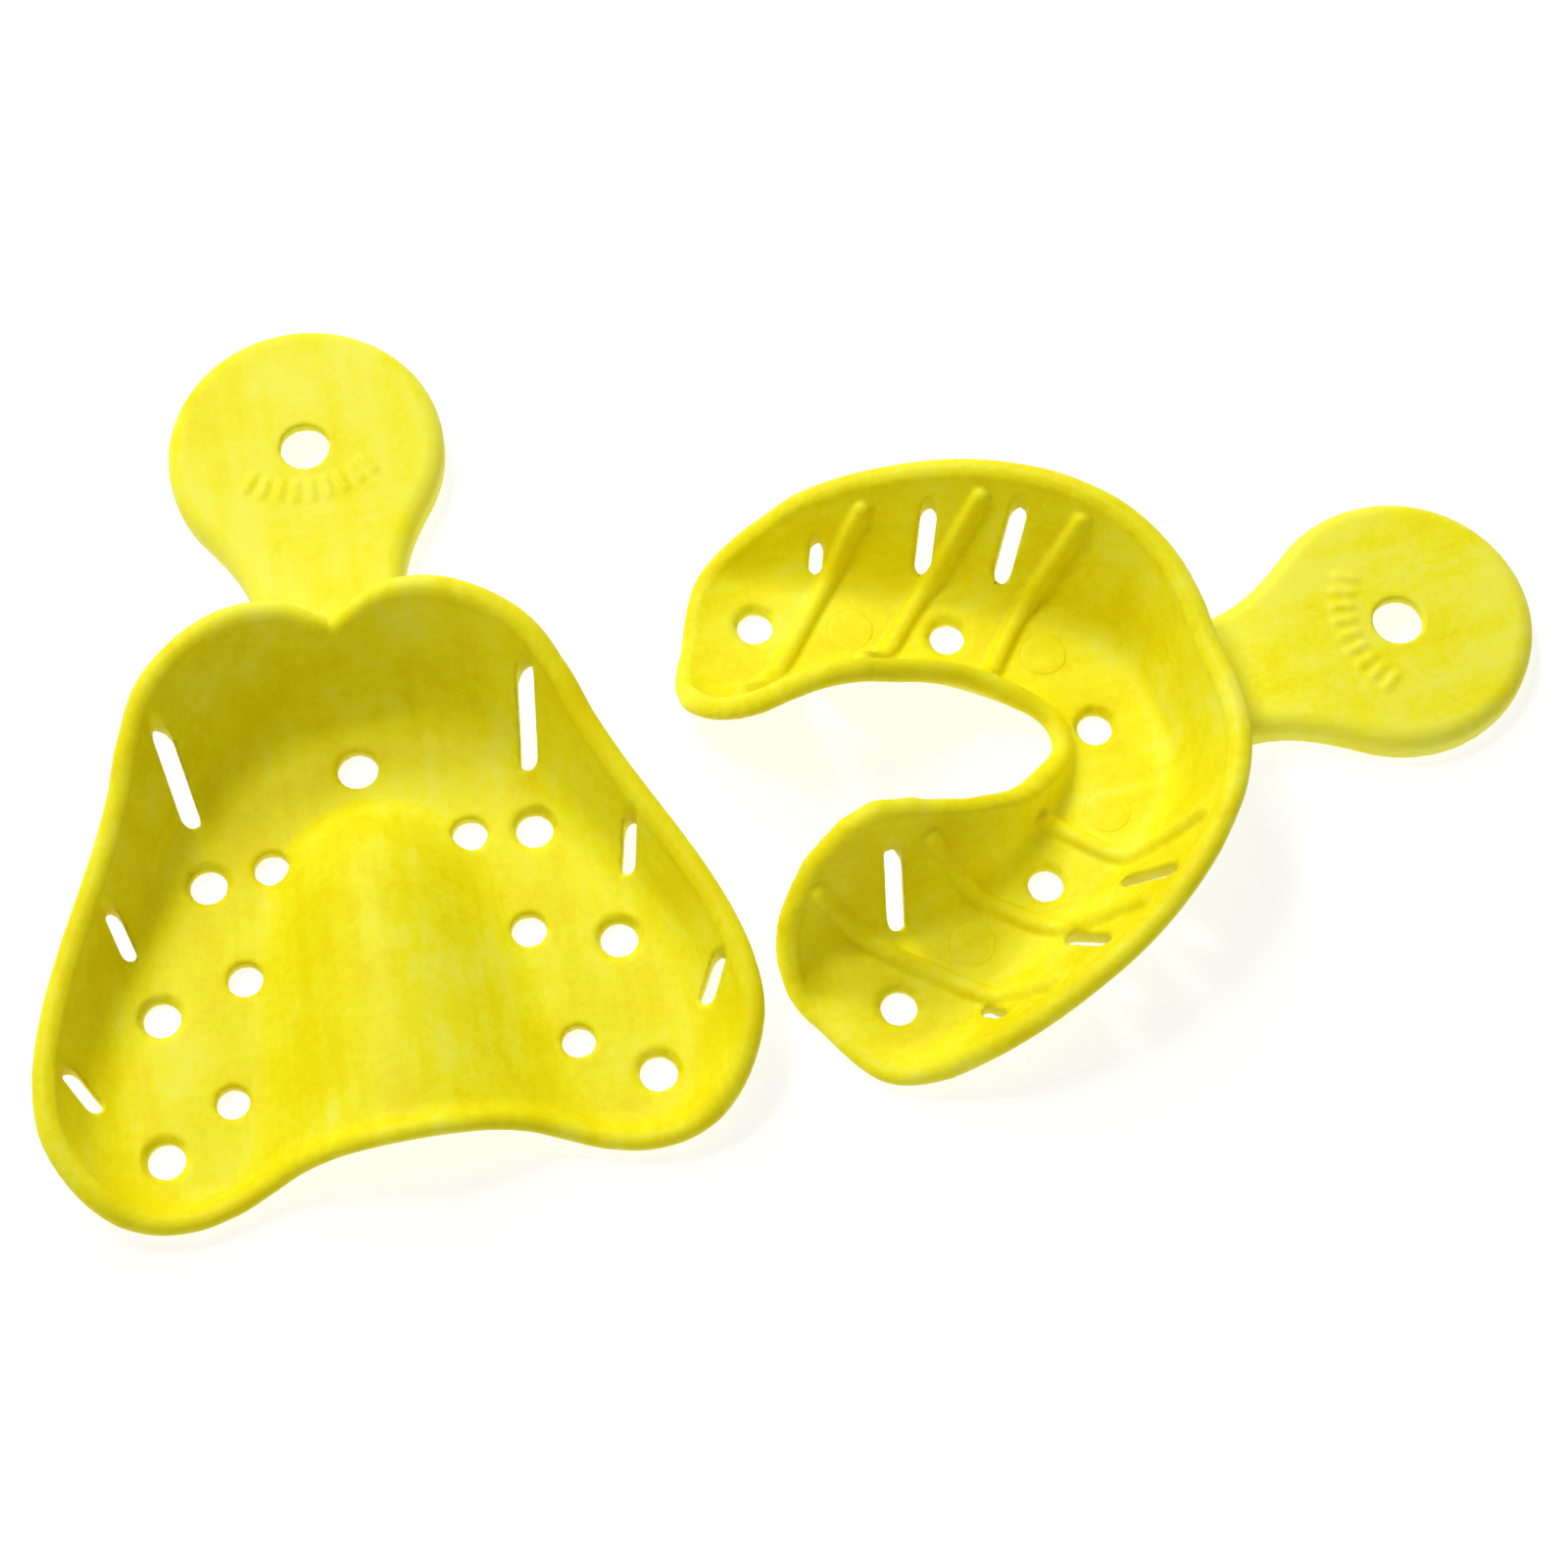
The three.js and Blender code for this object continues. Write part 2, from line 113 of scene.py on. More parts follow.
LOWER = dict(
    corner=2.0,
    foot=[
        (0, 6.8, 3.3, 12.0), (4.4, 6.5, 3.7, 12.6), (8.4, 5.2, 4.5, 13.3), (11.7, 2.7, 5.5, 14.0),
        (14.4, -0.9, 6.6, 13.9), (16.8, -5, 7.3, 13.2), (19.2, -9.5, 7.5, 12.2),
        (21.6, -14.1, 7.0, 10.9), (24.2, -19.2, 5.8, 9.0), (26.4, -24.2, 4.1, 6.4),
        (27.7, -28, 2.1, 3.0), (27.7, -31.2, 1.0, 0.9), (26.2, -33.3, 0.6, 0.25),
        (23.5, -35.0, 0.5, 0.1), (20.5, -36.4, 0.5, 0.15), (17.9, -36.8, 0.9, 1.2),
        (15.9, -35.4, 2.8, 5.6), (15.1, -33.3, 4.7, 10.2), (15, -30.6, 5.8, 13.9),
        (15.2, -27.3, 6.4, 15.2), (15.1, -23.8, 6.2, 14.3), (14.6, -20, 5.8, 12.7),
        (13.2, -16, 4.8, 10.5), (11.2, -12.5, 3.2, 8.2), (8.6, -9, 1.4, 5.2),
        (5.2, -5.2, 0.6, 2.7), (2.6, -3.3, 0.4, 1.6), (0, -2.7, 0.4, 1.5),
    ],
    notch=0.0,
    holes=[(0, 0, 1.8, True), (14.6, -10.8, 1.8, True), (22.2, -29.2, 1.85, True)],
    slots=[
        (26.2, -21.2, 27.4, -20.6, 1.4), (22.2, -10.8, 25.0, -9.3, 1.7),
        (18.4, -3.4, 21.0, -1.1, 1.8), (14.0, -26.7, 10.6, -26, 1.8),
    ],
    ribs=[
        [(11.4, -34), (15.2, -29.8), (25.1, -19.7), (27.8, -15.6)],
        [(10.3, -21.8), (13.9, -18.2), (20.1, -11.2), (23.6, -4.3)],
        [(8.2, -8.9), (9.5, -7.6), (15.0, -2.0), (17.1, 4.2)],
    ],
    marks=[(18.4, -20.0), (9.3, -2.1)],          # ejector pin circles on the floor
    vault=None,
    handle=dict(y=33.1, radius=14.0, neck=6.9),
    place=dict(turn=-71.0, x=31.8, y=5.7),
)
NOTCH_WIDTH = 1.0       # how quickly the notch at the front midline closes
COUNTERSINK = dict(depth=0.4, growth=0.42)      # depth, and reach past the edge of the hole

# A rib is a round rod that follows the trough.  Its height at each step is found by halving
# the stretch from the table up to search_top, and is then evened out over its neighbours.
RIB = dict(radius=0.95, steps=40, reach=3.0, search_top=25.0, search_rounds=20)
RIB_SOFTEN = np.array([1, 2, 3, 2, 1]) / 9

# Ejector pin circles: discs that stand a little proud, with a fine line round the edge.
MARK = dict(radius=2.35, soft=0.3, proud=0.1, line=0.25, depth=0.05)

# Short raised dashes fanned along an arc between the handle's hole and its neck.
DASHES = dict(count=9, arc_radius=10.6, arc_centre=5.2, spacing=9, length=1.8, size=0.45,
              proud=0.32)

# ------------------------------------------------------------------ finish
# Deep, middle and pale tone of the plastic, and where each sits on its noise.
YELLOWS = [(0.4, (0.88, 0.77, 0.002)), (0.5, (0.92, 0.86, 0.014)), (0.6, (0.93, 0.905, 0.075))]
# Each noise has a scale per metre, a detail and a roughness.  Three of them mix to the tone.
NOISE = dict(cloud=(110, 4, 0.62), streak=(430, 3, 0.55), speck=(1100, 3, 0.7),
             grain=(2200, 3, 0.65))
TONE_SHARE = dict(cloud=0.48, streak=0.27, speck=0.25)
STREAK_STRETCH = (1.0, 0.12, 0.6)       # the streaks are drawn out along the tray
PAINTED_LIGHT_FADE = dict(start=5, end=16, body=-0.03, handle=0.045)  # along Y: painted light, the open handle end paler and the shaded trough end deeper
GLOSS = dict(specular=0.16, smooth=0.4, rough=0.62)     # roughness lies between the last two
GRAIN = dict(strength=0.1, height=0.2)

# ------------------------------------------------------------------ stage, in metres and watts
FLOOR = dict(half_size=3.0, shade=0.3, roughness=0.9, glow=0.82)
SKY = [(0.19, (0.6, 0.6, 0.6)), (0.32, (0.17, 0.15, 0.11))]     # sine of elevation, colour
LAMPS = [                                        # name, place, size of disc, power
    ("key", (-0.30, 0.60, 0.68), 0.3, 4.1),
    ("side", (-0.60, 0.35, 1.40), 0.4, 10.4),
    ("fill", (0.6, -0.5, 0.7), 0.8, 0.6),
]
# Degrees above the floor, distance from the pair's origin, sensor width in mm, focal length in
# sensor widths.
CAMERA = dict(elevation=66, distance=0.406, sensor=36, focal=2.5375, clip_start=0.01)


# ------------------------------------------------------------------ curves and blends
def smooth_min(a, b, k):
    """The lower of a and b, blended where they differ by less than k."""
    h = np.maximum(k - np.abs(a - b), 0) / k
    return np.minimum(a, b) - h * h * k / 4


def smooth_max(a, b, k):
    """The higher of a and b, blended in the same way."""
    return -smooth_min(-a, -b, k)


def rounded_edge(a, b, radius):
    """Inside of both a and b, with the edge between them rounded."""
    a, b = a + radius, b + radius
    return np.minimum(np.maximum(a, b), 0) + np.hypot(np.maximum(a, 0), np.maximum(b, 0)) - radius


def closed_curve(points, samples):
    """Closed Catmull-Rom curve through the points, and its direction, at even steps."""
    p = np.asarray(points, float)
    count = len(p)
    u = np.arange(samples) / samples * count
    i = u.astype(int)
    t = (u - i)[:, None]
    a, b, c, d = (p[(i + shift) % count] for shift in (-1, 0, 1, 2))
    slope_b, slope_c = (c - a) / 2, (d - b) / 2
    k3, k2 = 2 * b - 2 * c + slope_b + slope_c, -3 * b + 3 * c - 2 * slope_b - slope_c
    return ((k3 * t + k2) * t + slope_b) * t + b, (3 * k3 * t + 2 * k2) * t + slope_b


def open_curve(points, samples):
    """Open Catmull-Rom curve through the points."""
    p = np.asarray(points, float)
    p = np.vstack([2 * p[0] - p[1], p, 2 * p[-1] - p[-2]])
    u = np.linspace(0, len(p) - 3 - 1e-9, samples)
    i = u.astype(int)
    t = (u - i)[:, None]
    a, b, c, d = (p[i + shift] for shift in range(4))
    slope_b, slope_c = (c - a) / 2, (d - b) / 2
    k3, k2 = 2 * b - 2 * c + slope_b + slope_c, -3 * b + 3 * c - 2 * slope_b - slope_c
    return ((k3 * t + k2) * t + slope_b) * t + b


def bezier(a, b, c, d, steps):
    """Even steps along a cubic Bezier curve, without its last point."""
    t = np.linspace(0, 1, steps, endpoint=False)[:, None]
    a, b, c, d = (np.asarray(q, float) for q in (a, b, c, d))
    return a * (1 - t) ** 3 + 3 * b * t * (1 - t) ** 2 + 3 * c * t * t * (1 - t) + d * t ** 3


def polygon_distance(poly, x, y):
    """Signed distance in plan to a closed polygon, negative inside."""
    best = np.full(x.shape, np.inf)
    inside = np.zeros(x.shape, bool)
    for (ax, ay), (bx, by) in zip(poly, np.roll(poly, -1, axis=0)):
        ex, ey = bx - ax, by - ay
        px, py = x - ax, y - ay
        t = np.clip((px * ex + py * ey) / (ex * ex + ey * ey), 0, 1)
        best = np.minimum(best, (px - ex * t) ** 2 + (py - ey * t) ** 2)
        if ay != by:
            crosses = (y >= min(ay, by)) & (y < max(ay, by))
            inside ^= crosses & (x < ax + (y - ay) * ex / ey)
    return np.sqrt(best) * np.where(inside, -1, 1)


class Tray:
    """Signed distance to one tray in its own frame, in millimetres."""

    def __init__(self, spec):
        self.spec = spec
        table = np.array(spec["foot"], float)
        mirrored = table[-2:0:-1] * (-1, 1, 1, 1)
        curve, slope = closed_curve(np.vstack([table, mirrored]), LINE_SAMPLES)
        self.foot, self.run, self.rise = curve[:, :2], curve[:, 2], curve[:, 3]
        front = self.foot[:, 1] > 0
        self.rise -= spec["notch"] * front * np.exp(-np.abs(self.foot[:, 0]) / NOTCH_WIDTH)
        outward = np.stack([-slope[:, 1], slope[:, 0]], axis=1)
        self.outward = outward / np.linalg.norm(outward, axis=1, keepdims=True)
        self.base = self.vault(*self.foot.T)[0]
        self.map_low = self.foot.min(0) - MAP_MARGIN
        reach = self.foot.max(0) + (MAP_MARGIN, spec["handle"]["y"] + spec["handle"]["radius"])
        across, ahead = (np.arange(a, b, MAP_STEP) for a, b in zip(self.map_low, reach))
        gap = [(column - self.foot[:, 0]) ** 2 + (ahead[:, None] - self.foot[:, 1]) ** 2
               for column in across]
        self.nearest = np.array([row.argmin(1) for row in gap])
        self.handle_outline = self.outline(0)
        self.pocket_outline = self.outline(HANDLE["skirt"])
        self.rib_lines = [self.rib_line(path, side) for path in spec["ribs"] for side in (1, -1)]

    def vault(self, x, y):
        """Height of the palate vault, and the cosine of its slope."""
        v = self.spec["vault"]
        if v is None:
            return np.zeros_like(x), np.ones_like(x)

        def height(x, y):
            back = np.maximum(v["front"] - y, 1e-6)
            width = (v["half_width"] * np.sqrt(1 - np.exp(-back / v["swell"]))
                     + v["spread"] * back + v["flare"] * (back / v["length"]) ** 6)
            across = np.minimum(np.abs(x) / width, 1)
            ridge = v["height"] * (1 - np.exp(-back / v["growth"]))
            return ridge * (1 - across ** 2) ** v["fullness"]

        step = VAULT_STEP
        slope_x = (height(x + step, y) - height(x - step, y)) / (2 * step)
        slope_y = (height(x, y + step) - height(x, y - step)) / (2 * step)
        return height(x, y), 1 / np.sqrt(1 + slope_x ** 2 + slope_y ** 2)

    def near_foot(self, x, y):
        """Signed plan distance outward from the foot line, and the flange there."""
        flat = np.stack([x.ravel(), y.ravel()], axis=1)
        spot = np.clip(np.rint((flat - self.map_low) / MAP_STEP).astype(int), 0,
                       np.array(self.nearest.shape) - 1)
        lowest = self.nearest[spot[:, 0], spot[:, 1]]
        best = np.full(len(flat), np.inf)
        out = np.zeros(len(flat))
        values = [np.zeros(len(flat)) for _ in range(3)]
        for shift in range(-NEIGHBOURS, NEIGHBOURS):
            i = (lowest + shift) % LINE_SAMPLES
            j = (i + 1) % LINE_SAMPLES
            edge = self.foot[j] - self.foot[i]
            t = np.clip(((flat - self.foot[i]) * edge).sum(1) / (edge ** 2).sum(1), 0, 1)
            away = flat - self.foot[i] - edge * t[:, None]
            gap = np.linalg.norm(away, axis=1)
            side = ((flat - self.foot[i]) * self.outward[i]).sum(1)
            better = gap < best
            best = np.where(better, gap, best)
            out = np.where(better, gap * np.sign(side), out)
            for value, source in zip(values, (self.run, self.rise, self.base)):
                value[better] = (source[i] * (1 - t) + source[j] * t)[better]
        return [a.reshape(x.shape) for a in (out, *values)]

    def outline(self, inset):
        """Plan outline of the handle, or of its pocket when drawn in from the edge."""
        h, own = HANDLE, self.spec["handle"]
        radius, half, pull = own["radius"] - inset, own["neck"] - inset, h["join_pull"]
        join = math.radians(h["join_angle"])
        join_x, join_y = radius * math.cos(join), own["y"] - radius * math.sin(join)
        lean_x, lean_y = pull * math.sin(join), pull * math.cos(join)
        neck_top = own["y"] - h["waist_below"]
        root = self.spec["foot"][0][1] + (h["root"] if inset == 0 else h["pocket_root"])
        right = bezier((half, neck_top), (half, neck_top + pull),
                       (join_x - lean_x, join_y - lean_y), (join_x, join_y), h["join_steps"])
        angles = np.linspace(-join, math.pi + join, h["disc_steps"])
        disc = np.stack([radius * np.cos(angles), own["y"] + radius * np.sin(angles)], axis=1)
        left = right[::-1] * (-1, 1)
        return np.vstack([[(half, root)], right, disc, left, [(-half, root)]])

    def rib_line(self, path, side):
        """Centre line of a rib: it lies on the trough and turns softly at the corners."""
        plan = open_curve([(side * x, y) for x, y in path], RIB["steps"])
        fields = self.plan_fields(plan[:, 0], plan[:, 1])
        below, above = np.zeros(RIB["steps"]), np.full(RIB["steps"], RIB["search_top"])
        for _ in range(RIB["search_rounds"]):
            middle = (below + above) / 2
            inside = self.trough(fields, middle) < 0
            below, above = np.where(inside, middle, below), np.where(inside, above, middle)
        padded = np.pad(middle, 2, mode="reflect", reflect_type="odd")
        height = np.convolve(padded, RIB_SOFTEN, mode="valid")
        return np.column_stack([plan, height])

    def plan_fields(self, x, y):
        """Everything that depends on the plan position only."""
        spec, h = self.spec, HANDLE
        out, run, rise, base = self.near_foot(x, y)
        vault, tilt = self.vault(x, y)
        fields = dict(x=x, y=y, out=out, run=run, rise=rise, base=base, vault=vault, tilt=tilt)
        fields["plate"] = polygon_distance(self.handle_outline, x, y)
        fields["pocket"] = polygon_distance(self.pocket_outline, x, y)
        dash = np.full(x.shape, FAR)
        centre = spec["handle"]["y"] + DASHES["arc_centre"]
        for k in range(DASHES["count"]):
            angle = math.radians(-90 + (k - (DASHES["count"] - 1) / 2) * DASHES["spacing"])
            ahead = x * math.cos(angle) + (y - centre) * math.sin(angle)
            across = (y - centre) * math.cos(angle) - x * math.sin(angle)
            beyond = np.maximum(np.abs(ahead - DASHES["arc_radius"]) - DASHES["length"] / 2, 0)
            dash = np.minimum(dash, np.hypot(beyond, across))
        fields["dash"] = dash
        cut = h["hole"] - np.hypot(x, y - spec["handle"]["y"])
        sunk = np.full(x.shape, -FAR)
        for hx, hy, radius, countersunk in spec["holes"]:
            gap = radius - np.hypot(np.abs(x) - hx, y - hy)
            cut = np.maximum(cut, gap)
            if countersunk:
                sunk = np.maximum(sunk, gap + COUNTERSINK["growth"])
        for x0, y0, x1, y1, width in spec["slots"]:
            ex, ey = x1 - x0, y1 - y0
            px, py = np.abs(x) - x0, y - y0
            t = np.clip((px * ex + py * ey) / (ex * ex + ey * ey), 0, 1)
            cut = np.maximum(cut, width / 2 - np.hypot(px - ex * t, py - ey * t))
        fields["cut"] = cut
        fields["sunk"] = sunk
        mark = np.full(x.shape, -FAR)
        for mx, my in spec["marks"]:
            mark = np.maximum(mark, MARK["radius"] - np.hypot(np.abs(x) - mx, y - my))
        fields["mark"] = MARK["proud"] * np.clip(mark / MARK["soft"] + 0.5, 0, 1)
        return fields

    def trough(self, f, z):
        """Height above the trough's surface, square to it, with a soft corner at the foot."""
        length = np.hypot(f["run"], f["rise"])
        over_floor = (z - WALL - f["vault"] - f["mark"]) * f["tilt"]
        over_flange = (f["run"] * (z - WALL - f["base"]) - f["rise"] * f["out"]) / length
        corner = np.minimum(self.spec["corner"], length * CORNER_SHARE)
        return smooth_min(over_floor, over_flange, corner)

    def distance(self, f, z):
        """Signed distance for plan fields f at height z."""
        length = np.hypot(f["run"], f["rise"])
        side, up = f["run"] / length, f["rise"] / length
        lift = z - WALL - f["base"]
        along = side * f["out"] + up * lift
        trough = self.trough(f, z)
        sheet = np.abs(trough + WALL / 2) - WALL / 2
        sheet = np.maximum(np.maximum(sheet, along - length), -z)
        bead = np.minimum(BEAD_RADIUS, WALL / 2 + BEAD_GROWTH * f["rise"])
        rim = np.hypot(f["out"] - (length * side + bead * up),
                       lift - (length * up - bead * side)) - bead
        body = smooth_min(sheet, rim, BLEND["rim"])
        body = smooth_min(body, self.handle(f, z, trough), BLEND["handle"])
        for line in self.rib_lines:
            body = smooth_min(body, self.rib(line, f, z), BLEND["rib"])
        sunk = np.minimum(f["sunk"], z - (WALL - COUNTERSINK["depth"]))
        return smooth_max(smooth_max(body, sunk, BLEND["countersink"]), f["cut"], BLEND["cut"])

    def handle(self, f, z, trough):
        """Plate with a well rounded top edge, a skirt and an open pocket below."""
        h = HANDLE
        top = h["bottom"] + h["depth"]
        solid = np.maximum(rounded_edge(f["plate"], z - top, h["top_edge"]),
                           rounded_edge(f["plate"], h["bottom"] - z, h["low_edge"]))
        dashes = np.hypot(f["dash"], z - top + DASHES["size"] - DASHES["proud"]) - DASHES["size"]
        solid = smooth_min(solid, dashes, BLEND["dash"])
        pocket = np.maximum(f["pocket"], z - (top - h["plate"]))
        solid = smooth_max(solid, -pocket, BLEND["pocket"])
        return np.maximum(solid, trough + h["cover"])

    def rib(self, line, f, z):
        """Distance to the rod along one rib's centre line, where it is within reach."""
        near = np.full(z.shape, FAR)
        low, high = line.min(0) - RIB["reach"], line.max(0) + RIB["reach"]
        mask = ((f["x"] > low[0]) & (f["x"] < high[0]) & (f["y"] > low[1]) & (f["y"] < high[1])
                & (z > low[2]) & (z < high[2]))
        p = np.stack([np.broadcast_to(f["x"], z.shape)[mask],
                      np.broadcast_to(f["y"], z.shape)[mask], z[mask]], axis=1)
        best = np.full(len(p), FAR)
        for a, b in zip(line[:-1], line[1:]):
            e = b - a
            t = np.clip((p - a) @ e / (e @ e), 0, 1)
            best = np.minimum(best, np.linalg.norm(p - a - t[:, None] * e, axis=1))
        near[mask] = best - RIB["radius"]
        return near

    def at(self, points):
        """Signed distance at a list of points."""
        fields = self.plan_fields(points[:, 0], points[:, 1])
        return self.distance(fields, points[:, 2])


# ------------------------------------------------------------------ surface from distance
def surface_nets(values, low, step):
    """Vertices and quads on the zero level of values sampled on a grid."""
    inside = values < 0
    cells = tuple(n - 1 for n in values.shape)
    corner = {}
    for dx in (0, 1):
        for dy in (0, 1):
            for dz in (0, 1):
                corner[dx, dy, dz] = (slice(dx, dx + cells[0]), slice(dy, dy + cells[1]),
                                      slice(dz, dz + cells[2]))
    filled = sum(inside[s].astype(np.int8) for s in corner.values())
    active = (filled > 0) & (filled < 8)
    index = np.full(cells, -1, np.int64)
    index[active] = np.arange(active.sum())
    cell = np.argwhere(active)
    total = np.zeros((len(cell), 3))
    hits = np.zeros(len(cell))
    here = {c: values[s][active] for c, s in corner.items()}
    for a in corner:
        for axis in range(3):
            if a[axis]:
                continue
            b = tuple(1 if k == axis else v for k, v in enumerate(a))
            va, vb = here[a], here[b]
            crosses = (va < 0) != (vb < 0)
            t = np.where(crosses, va / np.where(crosses, va - vb, 1), 0)
            spot = np.array(a, float) + t[:, None] * np.eye(3)[axis]
            total += np.where(crosses[:, None], spot, 0)
            hits += crosses
    vertices = (cell + total / hits[:, None]) * step + low
    quads = []
    for axis in range(3):
        u, v = (axis + 1) % 3, (axis + 2) % 3
        first = [slice(1, -1)] * 3
        first[axis] = slice(0, -1)
        second = list(first)
        second[axis] = slice(1, None)
        a, b = inside[tuple(first)], inside[tuple(second)]
        for rising in (True, False):
            spot = np.argwhere((a if rising else b) & ~(b if rising else a))
            grid = spot.copy()
            grid[:, u] += 1
            grid[:, v] += 1
            ring = []
            for du, dv in ((0, 0), (-1, 0), (-1, -1), (0, -1)):
                q = grid.copy()
                q[:, u] += du
                q[:, v] += dv
                ring.append(index[q[:, 0], q[:, 1], q[:, 2]])
            ring = np.stack(ring, axis=1)
            quads.append(ring if rising else ring[:, ::-1])
    return vertices, np.vstack(quads)


def settle(tray, points):
    """The points moved onto the zero level, along the slope of the tray's distance."""
    step, furthest = SETTLE["step"], GRID["spacing"] / 2
    for _ in range(SETTLE["rounds"]):
        value = tray.at(points)
        ahead = [tray.at(points + step * axis) for axis in np.eye(3)]
        slope = np.stack([there - value for there in ahead], axis=1) / step
        steepness = np.maximum((slope ** 2).sum(1), SETTLE["least_slope"])
        move = np.clip(-value / steepness, -furthest, furthest)
        points = points + move[:, None] * slope
    return points


def tray_piece(name, spec, material):
    """One tray as a smooth-shaded mesh object, in its own frame."""
    tray = Tray(spec)
    own = spec["handle"]
    reach = np.abs(tray.foot).max(0)[0] + GRID["side"]
    low = np.array([-reach, tray.foot[:, 1].min() - GRID["rear"], GRID["bottom"]])
    high = np.array([reach, own["y"] + own["radius"] + GRID["ahead"], GRID["top"]])
    axes = [np.arange(a, b, GRID["spacing"]) for a, b in zip(low, high)]
    x, y = np.meshgrid(axes[0], axes[1], indexing="ij")
    fields = {k: v[:, :, None] for k, v in tray.plan_fields(x, y).items()}
    z = np.broadcast_to(axes[2], x.shape + (len(axes[2]),))
    vertices, quads = surface_nets(tray.distance(fields, z), low, GRID["spacing"])
    vertices = settle(tray, vertices)
    mesh = bpy.data.meshes.new(name)
    mesh.vertices.add(len(vertices))
    mesh.vertices.foreach_set("co", (vertices * MM).ravel())
    mesh.loops.add(quads.size)
    mesh.loops.foreach_set("vertex_index", quads.ravel())
    mesh.polygons.add(len(quads))
    mesh.polygons.foreach_set("loop_start", np.arange(0, quads.size, 4))
    mesh.polygons.foreach_set("use_smooth", np.ones(len(quads), bool))
    mesh.update(calc_edges=True)
    mesh.validate()
    mesh.materials.append(material)
    piece = bpy.data.objects.new(name, mesh)
    bpy.context.scene.collection.objects.link(piece)
    return piece


# ------------------------------------------------------------------ materials
def plastic(name, spec, shift):
    """Chalky lemon-yellow moulded plastic, with flow streaks along the tray and painted light
    that makes the handle end paler than the trough.
    """
    material = bpy.data.materials.new(name)
    material.use_nodes = True
    nodes, links = material.node_tree.nodes, material.node_tree.links
    shader = nodes["Principled BSDF"]
    shader.inputs["Specular IOR Level"].default_value = GLOSS["specular"]

    def make(kind, values, output=0, **settings):
        node = nodes.new("ShaderNode" + kind)
        for key, value in settings.items():
            setattr(node, key, value)
        for key, value in values.items():
            if isinstance(value, bpy.types.NodeSocket):
                links.new(value, node.inputs[key])
            else:
                node.inputs[key].default_value = value
        return node.outputs[output]

    def math_of(operation, *values):
        return make("Math", dict(enumerate(values)), operation=operation)

    def noise(vector, kind):
        scale, detail, roughness = NOISE[kind]
        return make("TexNoise", {"Vector": vector, "Scale": scale, "Detail": detail,
                                 "Roughness": roughness})

    place = spec["place"]
    local = make("Mapping", {
        "Vector": make("TexCoord", {}, output="Object"),
        "Location": ((place["x"] + shift[0]) * MM, (place["y"] + shift[1]) * MM, 0),
        "Rotation": (0, 0, math.radians(place["turn"])),
    }, vector_type="TEXTURE")

    apart = nodes.new("ShaderNodeSeparateXYZ")
    links.new(local, apart.inputs[0])
    drawn = make("VectorMath", {0: local, 1: STREAK_STRETCH}, operation="MULTIPLY")
    cloud = noise(local, "cloud")
    streak = noise(drawn, "streak")
    speck = noise(local, "speck")
    tone = math_of("MULTIPLY", cloud, TONE_SHARE["cloud"])
    tone = math_of("MULTIPLY_ADD", streak, TONE_SHARE["streak"], tone)
    tone = math_of("MULTIPLY_ADD", speck, TONE_SHARE["speck"], tone)
    # Painted light: the tone is pushed deeper over the trough and paler over the handle, by
    # position along Y.
    tone = math_of("ADD", tone, make("MapRange", {
        "Value": apart.outputs["Y"], "From Min": PAINTED_LIGHT_FADE["start"] * MM, "From Max": PAINTED_LIGHT_FADE["end"] * MM,
        "To Min": PAINTED_LIGHT_FADE["body"], "To Max": PAINTED_LIGHT_FADE["handle"]}))
    colour = nodes.new("ShaderNodeValToRGB")
    colour.color_ramp.elements.new(0.5)
    for element, (spot, shade) in zip(colour.color_ramp.elements, YELLOWS):
        element.position = spot
        element.color = (*shade, 1)
    links.new(tone, colour.inputs["Fac"])
    links.new(colour.outputs["Color"], shader.inputs["Base Color"])

    rough = make("MapRange", {"Value": speck, "To Min": GLOSS["smooth"],
                              "To Max": GLOSS["rough"]})
    links.new(rough, shader.inputs["Roughness"])

    normal = make("Bump", {"Height": noise(local, "grain"), "Strength": GRAIN["strength"],
                           "Distance": GRAIN["height"] * MM})
    if spec["marks"]:
        plan = make("CombineXYZ", {0: math_of("ABSOLUTE", apart.outputs["X"]),
                                   1: apart.outputs["Y"]})
        groove = 1.0
        for x, y in spec["marks"]:
            away = make("VectorMath", {0: plan, 1: (x * MM, y * MM, 0)}, output="Value",
                        operation="DISTANCE")
            off = math_of("ABSOLUTE", math_of("SUBTRACT", away, MARK["radius"] * MM))
            line = make("MapRange", {"Value": off, "From Min": 0, "From Max": MARK["line"] * MM,
                                     "To Min": 0, "To Max": 1}, interpolation_type="SMOOTHSTEP")
            groove = math_of("MINIMUM", groove, line)
        normal = make("Bump", {"Height": groove, "Normal": normal, "Strength": 1.0,
                               "Distance": MARK["depth"] * MM})
    links.new(normal, shader.inputs["Normal"])
    return material


def floor_material():
    """A floor that glows softly, so that it stays pale in the shade of the trays."""
    material = bpy.data.materials.new("pale_floor")
    material.use_nodes = True
    shader = material.node_tree.nodes["Principled BSDF"]
    shader.inputs["Base Color"].default_value = (FLOOR["shade"],) * 3 + (1,)
    shader.inputs["Roughness"].default_value = FLOOR["roughness"]
    shader.inputs["Emission Color"].default_value = (1, 1, 1, 1)
    shader.inputs["Emission Strength"].default_value = FLOOR["glow"]
    return material


# ------------------------------------------------------------------ pieces
def row_shift():
    """Where the pair's own origin lies in the row frame, from the outer edges of the discs."""
    ends = []
    for name, spec, axis in (("lower_tray", LOWER, 0), ("upper_tray", UPPER, 1)):
        turn, handle, place = math.radians(spec["place"]["turn"]), spec["handle"], spec["place"]
        middle = handle["y"] * (-math.sin(turn), math.cos(turn))[axis]
        edge = (place["x"], place["y"])[axis] + middle + handle["radius"]
        ends.append(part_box(name)[1][axis] / MM - edge)
    return ends


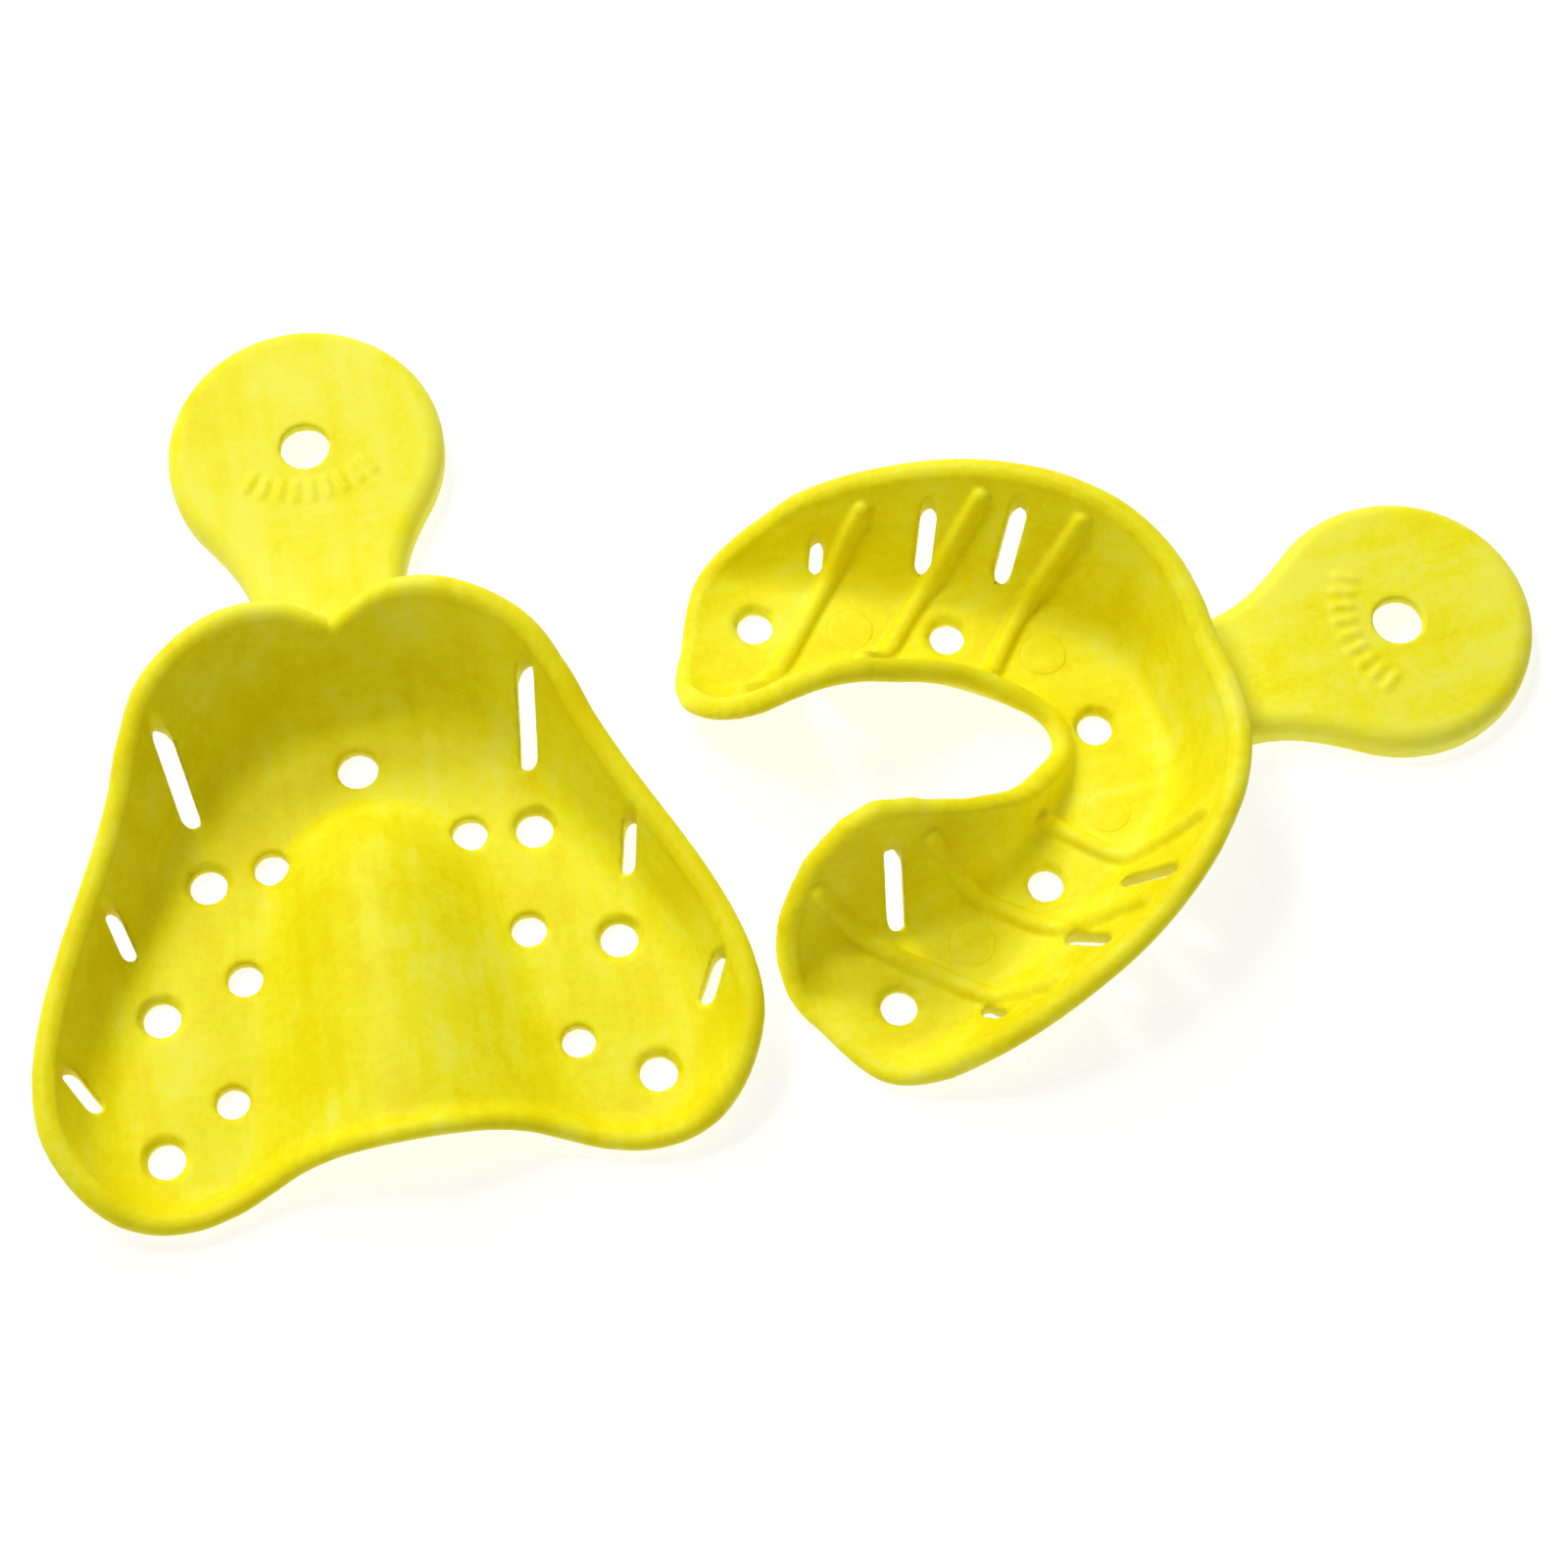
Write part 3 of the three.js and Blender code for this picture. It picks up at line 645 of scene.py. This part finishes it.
def lay(piece, spec, shift):
    """Turns and moves a piece's mesh from its tray's own frame to its place in the pair."""
    place = spec["place"]
    turn = Matrix.Rotation(math.radians(place["turn"]), 4, "Z")
    move = Matrix.Translation(Vector((place["x"] + shift[0], place["y"] + shift[1], 0)) * MM)
    piece.data.transform(move @ turn)


SHIFT = row_shift()
for name, spec in (("upper_tray", UPPER), ("lower_tray", LOWER)):
    piece = tray_piece(name + "_moulding", spec, plastic(name + "_plastic", spec, SHIFT))
    lay(piece, spec, SHIFT)
    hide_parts(name)
    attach(piece, name)

# ------------------------------------------------------------------ stage, light, camera
plane = bpy.data.meshes.new("floor")
corners = [(-1, -1, 0), (1, -1, 0), (1, 1, 0), (-1, 1, 0)]
plane.from_pydata([Vector(c) * FLOOR["half_size"] for c in corners], [], [(0, 1, 2, 3)])
plane.materials.append(floor_material())
floor = bpy.data.objects.new("floor", plane)
bpy.context.scene.collection.objects.link(floor)


def studio_world():
    """Pale round the horizon, which is what low views see, and dim and warm overhead."""
    world = bpy.data.worlds.new("studio")
    world.use_nodes = True
    nodes, links = world.node_tree.nodes, world.node_tree.links
    height = nodes.new("ShaderNodeSeparateXYZ")
    links.new(nodes.new("ShaderNodeTexCoord").outputs["Generated"], height.inputs[0])
    ramp = nodes.new("ShaderNodeValToRGB")
    for element, (sine, shade) in zip(ramp.color_ramp.elements, SKY):
        element.position = sine
        element.color = (*shade, 1)
    links.new(height.outputs["Z"], ramp.inputs["Fac"])
    links.new(ramp.outputs["Color"], nodes["Background"].inputs["Color"])
    bpy.context.scene.world = world


studio_world()


def lamp(name, spot, size, power):
    """A round soft light that aims at the origin."""
    data = bpy.data.lights.new(name, "AREA")
    data.shape = "DISK"
    data.size = size
    data.energy = power
    light = bpy.data.objects.new(name, data)
    light.location = spot
    light.rotation_euler = (-Vector(spot)).to_track_quat("-Z", "Y").to_euler()
    bpy.context.scene.collection.objects.link(light)


for name, spot, size, power in LAMPS:
    lamp(name, spot, size, power)

elevation = math.radians(CAMERA["elevation"])
target = Vector((SHIFT[0], SHIFT[1], 0)) * MM
camera_data = bpy.data.cameras.new("camera")
camera_data.sensor_width = CAMERA["sensor"]
camera_data.lens = CAMERA["sensor"] * CAMERA["focal"]
camera_data.clip_start = CAMERA["clip_start"]
camera = bpy.data.objects.new("camera", camera_data)
back = Vector((0, -math.cos(elevation), math.sin(elevation)))
camera.location = target + back * CAMERA["distance"]
camera.rotation_euler = (-back).to_track_quat("-Z", "Y").to_euler()
bpy.context.scene.collection.objects.link(camera)
bpy.context.scene.camera = camera
bpy.context.scene.view_settings.view_transform = "Standard"
